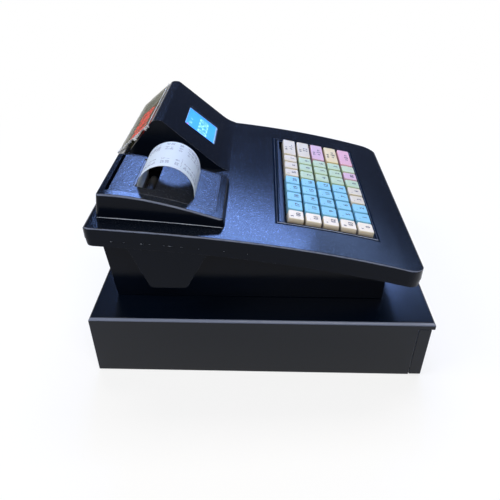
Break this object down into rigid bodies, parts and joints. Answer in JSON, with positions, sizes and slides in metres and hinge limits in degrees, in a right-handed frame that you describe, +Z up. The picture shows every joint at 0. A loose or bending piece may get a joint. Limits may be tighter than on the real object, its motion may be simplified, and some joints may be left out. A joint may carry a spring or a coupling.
{
  "type": "ticket register",
  "caption": "Electronic cash register with a receipt printer, operator and customer displays and a sloping keyboard, standing on a sliding cash drawer with a till insert.",
  "frame": {"origin": "middle of the drawer's footprint, on the counter", "axes": "+X to the operator's right, -Y out of the front towards the operator, +Z up from the counter"},
  "size_m": [0.3, 0.363, 0.2356],
  "materials": {
    "case_paint": "semi-gloss powder coat, fine texture",
    "zinc_steel": "zinc plated",
    "black_plastic": "fine-grained black",
    "tray_plastic": "moulded, dull",
    "grey_plastic": "moulded, dull",
    "white_roller": "smooth",
    "rubber": "dull",
    "lock_metal": "polished",
    "spring_steel": "polished",
    "board": "soldermask",
    "smoked": "smoked film",
    "clear_window": "clear",
    "display_module": "display glass",
    "paper": "thermal paper",
    "key_cream": "satin",
    "key_blue": "satin",
    "key_grey": "satin",
    "key_green": "satin",
    "key_violet": "satin",
    "key_pale_green": "satin",
    "key_pink": "satin",
    "key_yellow": "satin"
  },
  "bodies": {
    "register": {"drawer_case": "case_paint", "case_base": "zinc_steel", "rubber_feet": "rubber", "drawer_rails": "zinc_steel", "latch_solenoid": "zinc_steel", "lower_housing": "black_plastic", "upper_housing": "black_plastic", "keyboard_frame": "black_plastic", "circuit_boards": "board", "power_socket": "black_plastic", "printer_cover": "black_plastic", "printer_chassis": "grey_plastic", "stepper_motor": "zinc_steel", "print_head": "zinc_steel", "display_housing": "black_plastic", "operator_window": "clear_window", "operator_display": "display_module", "customer_window": "smoked", "customer_display": "display_module"},
    "drawer": {"drawer_box": "zinc_steel", "drawer_front": "case_paint", "till_tray": "tray_plastic"},
    "front_rollers": {"case_rollers": "white_roller"},
    "rear_rollers": {"box_rollers": "white_roller"},
    "lock": {"drawer_lock": "lock_metal"},
    "latch": {"drawer_latch": "zinc_steel"},
    "bill_clip_1": {"bill_clip_1": "grey_plastic"},
    "bill_clip_2": {"bill_clip_2": "grey_plastic"},
    "bill_clip_3": {"bill_clip_3": "grey_plastic"},
    "bill_clip_4": {"bill_clip_4": "grey_plastic"},
    "lid": {"paper_lid": "black_plastic", "tear_bar": "spring_steel", "paper_strip": "paper"},
    "platen": {"platen_roller": "rubber"},
    "pinion": {"motor_gear": "spring_steel"},
    "roll": {"paper_roll": "paper"},
    "function_keys": {"function_keys": "key_cream"},
    "department_keys_1": {"department_keys_1": "key_blue"},
    "department_keys_2": {"department_keys_2": "key_blue"},
    "department_keys_3": {"department_keys_3": "key_blue"},
    "department_keys_4": {"department_keys_4": "key_blue"},
    "clear_keys": {"clear_keys": "key_cream"},
    "register_keys": {"register_keys": "key_grey"},
    "feed_key": {"feed_key": "key_grey"},
    "charge_key": {"charge_key": "key_cream"},
    "check_key": {"check_key": "key_violet"},
    "subtotal_key": {"subtotal_key": "key_yellow"},
    "cash_key": {"cash_key": "key_pink"},
    "key_7": {"key_7": "key_green"},
    "key_8": {"key_8": "key_green"},
    "key_9": {"key_9": "key_green"},
    "key_4": {"key_4": "key_green"},
    "key_5": {"key_5": "key_green"},
    "key_6": {"key_6": "key_green"},
    "key_1": {"key_1": "key_green"},
    "key_2": {"key_2": "key_green"},
    "key_3": {"key_3": "key_green"},
    "key_0": {"key_0": "key_green"},
    "key_00": {"key_00": "key_violet"},
    "key_point": {"key_point": "key_pale_green"}
  },
  "joints": [
    {"name": "drawer_slide", "type": "slide", "parent": "register", "child": "drawer", "axis": [0, -1, 0], "range_m": [0, 0.26]},
    {"name": "front_rollers_spin", "type": "hinge", "parent": "register", "child": "front_rollers", "pos_m": [0, -0.155, 0.046], "axis": [1, 0, 0], "range_deg": [-10, 2200]},
    {"name": "rear_rollers_spin", "type": "hinge", "parent": "drawer", "child": "rear_rollers", "pos_m": [0, 0.123, 0.029], "axis": [1, 0, 0], "range_deg": [-10, 2200]},
    {"name": "lock_turn", "type": "hinge", "parent": "drawer", "child": "lock", "pos_m": [0, -0.18, 0.046], "axis": [0, -1, 0], "range_deg": [-90, 0]},
    {"name": "latch_turn", "type": "hinge", "parent": "register", "child": "latch", "pos_m": [0.01, 0.171, 0.014], "axis": [0, 0, 1], "range_deg": [-15, 0]},
    {"name": "bill_clip_1_lift", "type": "hinge", "parent": "drawer", "child": "bill_clip_1", "pos_m": [-0.0999, 0.1146, 0.054], "axis": [-1, 0, 0], "range_deg": [0, 44], "stiffness_Nm_per_rad": 0.02, "springref_deg": -17.19},
    {"name": "bill_clip_2_lift", "type": "hinge", "parent": "drawer", "child": "bill_clip_2", "pos_m": [-0.0333, 0.1146, 0.054], "axis": [-1, 0, 0], "range_deg": [0, 44], "stiffness_Nm_per_rad": 0.02, "springref_deg": -17.19},
    {"name": "bill_clip_3_lift", "type": "hinge", "parent": "drawer", "child": "bill_clip_3", "pos_m": [0.0333, 0.1146, 0.054], "axis": [-1, 0, 0], "range_deg": [0, 44], "stiffness_Nm_per_rad": 0.02, "springref_deg": -17.19},
    {"name": "bill_clip_4_lift", "type": "hinge", "parent": "drawer", "child": "bill_clip_4", "pos_m": [0.0999, 0.1146, 0.054], "axis": [-1, 0, 0], "range_deg": [0, 44], "stiffness_Nm_per_rad": 0.02, "springref_deg": -17.19},
    {"name": "lid_hinge", "type": "hinge", "parent": "register", "child": "lid", "pos_m": [-0.07975, 0.1422, 0.20779], "axis": [-1, 0, 0], "range_deg": [0, 95]},
    {"name": "platen_spin", "type": "hinge", "parent": "register", "child": "platen", "pos_m": [-0.1052, 0.116, 0.188], "axis": [1, 0, 0], "continuous": true},
    {"name": "pinion_spin", "type": "hinge", "parent": "register", "child": "pinion", "pos_m": [-0.1116, 0.10469, 0.17669], "axis": [1, 0, 0], "continuous": true},
    {"name": "roll_spin", "type": "hinge", "parent": "register", "child": "roll", "pos_m": [-0.1052, 0.08, 0.1493], "axis": [1, 0, 0], "continuous": true},
    {"name": "function_keys_press", "type": "slide", "parent": "register", "child": "function_keys", "axis": [0, 0.1921, -0.9814], "range_m": [0, 0.003], "stiffness_N_per_m": 200, "springref_m": -0.0015},
    {"name": "department_keys_1_press", "type": "slide", "parent": "register", "child": "department_keys_1", "axis": [0, 0.1921, -0.9814], "range_m": [0, 0.003], "stiffness_N_per_m": 200, "springref_m": -0.0015},
    {"name": "department_keys_2_press", "type": "slide", "parent": "register", "child": "department_keys_2", "axis": [0, 0.1921, -0.9814], "range_m": [0, 0.003], "stiffness_N_per_m": 200, "springref_m": -0.0015},
    {"name": "department_keys_3_press", "type": "slide", "parent": "register", "child": "department_keys_3", "axis": [0, 0.1921, -0.9814], "range_m": [0, 0.003], "stiffness_N_per_m": 200, "springref_m": -0.0015},
    {"name": "department_keys_4_press", "type": "slide", "parent": "register", "child": "department_keys_4", "axis": [0, 0.1921, -0.9814], "range_m": [0, 0.003], "stiffness_N_per_m": 200, "springref_m": -0.0015},
    {"name": "clear_keys_press", "type": "slide", "parent": "register", "child": "clear_keys", "axis": [0, 0.1921, -0.9814], "range_m": [0, 0.003], "stiffness_N_per_m": 200, "springref_m": -0.0015},
    {"name": "register_keys_press", "type": "slide", "parent": "register", "child": "register_keys", "axis": [0, 0.1921, -0.9814], "range_m": [0, 0.003], "stiffness_N_per_m": 200, "springref_m": -0.0015},
    {"name": "feed_key_press", "type": "slide", "parent": "register", "child": "feed_key", "axis": [0, 0.1921, -0.9814], "range_m": [0, 0.003], "stiffness_N_per_m": 200, "springref_m": -0.0015},
    {"name": "charge_key_press", "type": "slide", "parent": "register", "child": "charge_key", "axis": [0, 0.1921, -0.9814], "range_m": [0, 0.003], "stiffness_N_per_m": 200, "springref_m": -0.0015},
    {"name": "check_key_press", "type": "slide", "parent": "register", "child": "check_key", "axis": [0, 0.1921, -0.9814], "range_m": [0, 0.003], "stiffness_N_per_m": 200, "springref_m": -0.0015},
    {"name": "subtotal_key_press", "type": "slide", "parent": "register", "child": "subtotal_key", "axis": [0, 0.1921, -0.9814], "range_m": [0, 0.003], "stiffness_N_per_m": 200, "springref_m": -0.0015},
    {"name": "cash_key_press", "type": "slide", "parent": "register", "child": "cash_key", "axis": [0, 0.1921, -0.9814], "range_m": [0, 0.003], "stiffness_N_per_m": 200, "springref_m": -0.0015},
    {"name": "key_7_press", "type": "slide", "parent": "register", "child": "key_7", "axis": [0, 0.1921, -0.9814], "range_m": [0, 0.003], "stiffness_N_per_m": 200, "springref_m": -0.0015},
    {"name": "key_8_press", "type": "slide", "parent": "register", "child": "key_8", "axis": [0, 0.1921, -0.9814], "range_m": [0, 0.003], "stiffness_N_per_m": 200, "springref_m": -0.0015},
    {"name": "key_9_press", "type": "slide", "parent": "register", "child": "key_9", "axis": [0, 0.1921, -0.9814], "range_m": [0, 0.003], "stiffness_N_per_m": 200, "springref_m": -0.0015},
    {"name": "key_4_press", "type": "slide", "parent": "register", "child": "key_4", "axis": [0, 0.1921, -0.9814], "range_m": [0, 0.003], "stiffness_N_per_m": 200, "springref_m": -0.0015},
    {"name": "key_5_press", "type": "slide", "parent": "register", "child": "key_5", "axis": [0, 0.1921, -0.9814], "range_m": [0, 0.003], "stiffness_N_per_m": 200, "springref_m": -0.0015},
    {"name": "key_6_press", "type": "slide", "parent": "register", "child": "key_6", "axis": [0, 0.1921, -0.9814], "range_m": [0, 0.003], "stiffness_N_per_m": 200, "springref_m": -0.0015},
    {"name": "key_1_press", "type": "slide", "parent": "register", "child": "key_1", "axis": [0, 0.1921, -0.9814], "range_m": [0, 0.003], "stiffness_N_per_m": 200, "springref_m": -0.0015},
    {"name": "key_2_press", "type": "slide", "parent": "register", "child": "key_2", "axis": [0, 0.1921, -0.9814], "range_m": [0, 0.003], "stiffness_N_per_m": 200, "springref_m": -0.0015},
    {"name": "key_3_press", "type": "slide", "parent": "register", "child": "key_3", "axis": [0, 0.1921, -0.9814], "range_m": [0, 0.003], "stiffness_N_per_m": 200, "springref_m": -0.0015},
    {"name": "key_0_press", "type": "slide", "parent": "register", "child": "key_0", "axis": [0, 0.1921, -0.9814], "range_m": [0, 0.003], "stiffness_N_per_m": 200, "springref_m": -0.0015},
    {"name": "key_00_press", "type": "slide", "parent": "register", "child": "key_00", "axis": [0, 0.1921, -0.9814], "range_m": [0, 0.003], "stiffness_N_per_m": 200, "springref_m": -0.0015},
    {"name": "key_point_press", "type": "slide", "parent": "register", "child": "key_point", "axis": [0, 0.1921, -0.9814], "range_m": [0, 0.003], "stiffness_N_per_m": 200, "springref_m": -0.0015}
  ],
  "couplings": [
    {"joint": "front_rollers_spin", "follows": "drawer_slide", "rad_per_m": 142.86},
    {"joint": "rear_rollers_spin", "follows": "drawer_slide", "rad_per_m": 138.89},
    {"joint": "pinion_spin", "follows": "platen_spin", "ratio": -2.3333},
    {"joint": "roll_spin", "follows": "platen_spin", "ratio": 0.17037}
  ]
}
